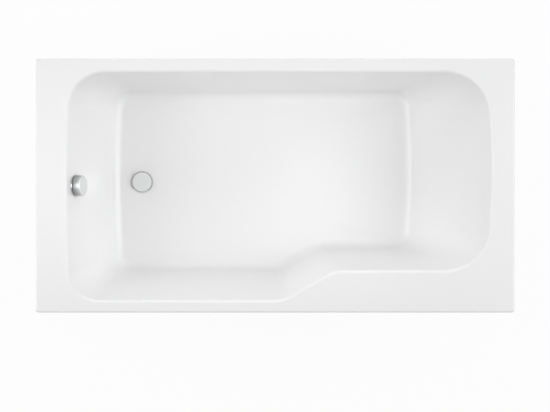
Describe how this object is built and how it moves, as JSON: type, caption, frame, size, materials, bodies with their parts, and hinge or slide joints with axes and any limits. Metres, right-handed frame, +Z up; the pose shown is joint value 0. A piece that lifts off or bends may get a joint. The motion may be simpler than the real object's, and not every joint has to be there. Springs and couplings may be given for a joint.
{
  "type": "shower bath",
  "caption": "Rectangular acrylic shower bath with a curved step, wide showering end, sloped backrest, cable-worked pop-up waste, turning overflow knob, trap and screw-adjusted feet.",
  "frame": {"origin": "on the ground under the middle of the rim rectangle, feet screwed in", "axes": "+X along the bath from the waste to the backrest, +Y towards the wall at the back, +Z up"},
  "size_m": [1.7, 0.9, 0.58],
  "materials": {
    "acrylic": "glossy white sanitary acrylic",
    "board": "chipboard under a thin glass fibre coat",
    "batten": "planed softwood",
    "chrome": "polished chrome plate",
    "zinc_steel": "zinc plated steel",
    "foot_plastic": "black moulded plastic",
    "white_plastic": "white polypropylene",
    "rubber": "black rubber",
    "brass": "turned brass",
    "hose_plastic": "grey ribbed plastic hose",
    "black_plastic": "black plastic"
  },
  "bodies": {
    "bath": {"base_board": "board", "bath_shell": "acrylic", "cable_clips": "black_plastic", "control_cable": "black_plastic", "cradle_bar_head": "zinc_steel", "cradle_bar_waste": "zinc_steel", "cradle_screws": "zinc_steel", "foot_lock_nuts": "zinc_steel", "foot_top_nuts": "zinc_steel", "hose_clamps": "zinc_steel", "lever_pin": "brass", "middle_foot_plate": "zinc_steel", "middle_foot_screws": "zinc_steel", "overflow_body": "white_plastic", "overflow_hose": "hose_plastic", "overflow_rosette": "chrome", "overflow_seal": "rubber", "rim_batten_back": "batten", "rim_batten_front": "batten", "rim_batten_ledge": "batten", "trap_bend": "white_plastic", "trap_inlet_nut": "white_plastic", "trap_inlet_washer": "rubber", "trap_outlet_nut": "white_plastic", "trap_outlet_washer": "rubber", "trap_tail_pipe": "white_plastic", "waste_body": "white_plastic", "waste_body_seal": "rubber", "waste_flange": "chrome", "waste_flange_seal": "rubber"},
    "knob": {"overflow_knob": "chrome", "knob_spindle": "brass", "cable_drum": "black_plastic"},
    "plug": {"plug_cap": "chrome", "plug_seal": "rubber", "plug_stem": "brass"},
    "lever": {"lift_lever": "brass"},
    "leg_waste_front": {"foot_rod_waste_front": "zinc_steel", "foot_pad_waste_front": "foot_plastic"},
    "leg_waste_back": {"foot_rod_waste_back": "zinc_steel", "foot_pad_waste_back": "foot_plastic"},
    "leg_head_front": {"foot_rod_head_front": "zinc_steel", "foot_pad_head_front": "foot_plastic"},
    "leg_head_back": {"foot_rod_head_back": "zinc_steel", "foot_pad_head_back": "foot_plastic"},
    "leg_middle": {"foot_rod_middle": "zinc_steel", "foot_pad_middle": "foot_plastic"}
  },
  "joints": [
    {"name": "knob_turn", "type": "hinge", "parent": "bath", "child": "knob", "pos_m": [-0.71787, 0, 0.51], "axis": [0.955, 0, 0.2966], "range_deg": [0, 70]},
    {"name": "plug_lift", "type": "slide", "parent": "bath", "child": "plug", "axis": [0, 0, 1], "range_m": [0, 0.012]},
    {"name": "lever_lift", "type": "hinge", "parent": "bath", "child": "lever", "pos_m": [-0.478, 0.014, 0.12475], "axis": [0, 1, 0], "range_deg": [0, 26.7]},
    {"name": "waste_front_foot_screw", "type": "slide", "parent": "bath", "child": "leg_waste_front", "axis": [0, 0, -1], "range_m": [0, 0.03]},
    {"name": "waste_back_foot_screw", "type": "slide", "parent": "bath", "child": "leg_waste_back", "axis": [0, 0, -1], "range_m": [0, 0.03]},
    {"name": "head_front_foot_screw", "type": "slide", "parent": "bath", "child": "leg_head_front", "axis": [0, 0, -1], "range_m": [0, 0.03]},
    {"name": "head_back_foot_screw", "type": "slide", "parent": "bath", "child": "leg_head_back", "axis": [0, 0, -1], "range_m": [0, 0.03]},
    {"name": "middle_foot_screw", "type": "slide", "parent": "bath", "child": "leg_middle", "axis": [0, 0, -1], "range_m": [0, 0.03]}
  ],
  "couplings": [
    {"joint": "plug_lift", "follows": "knob_turn", "m_per_rad": 0.009822},
    {"joint": "lever_lift", "follows": "knob_turn", "ratio": 0.3812}
  ]
}
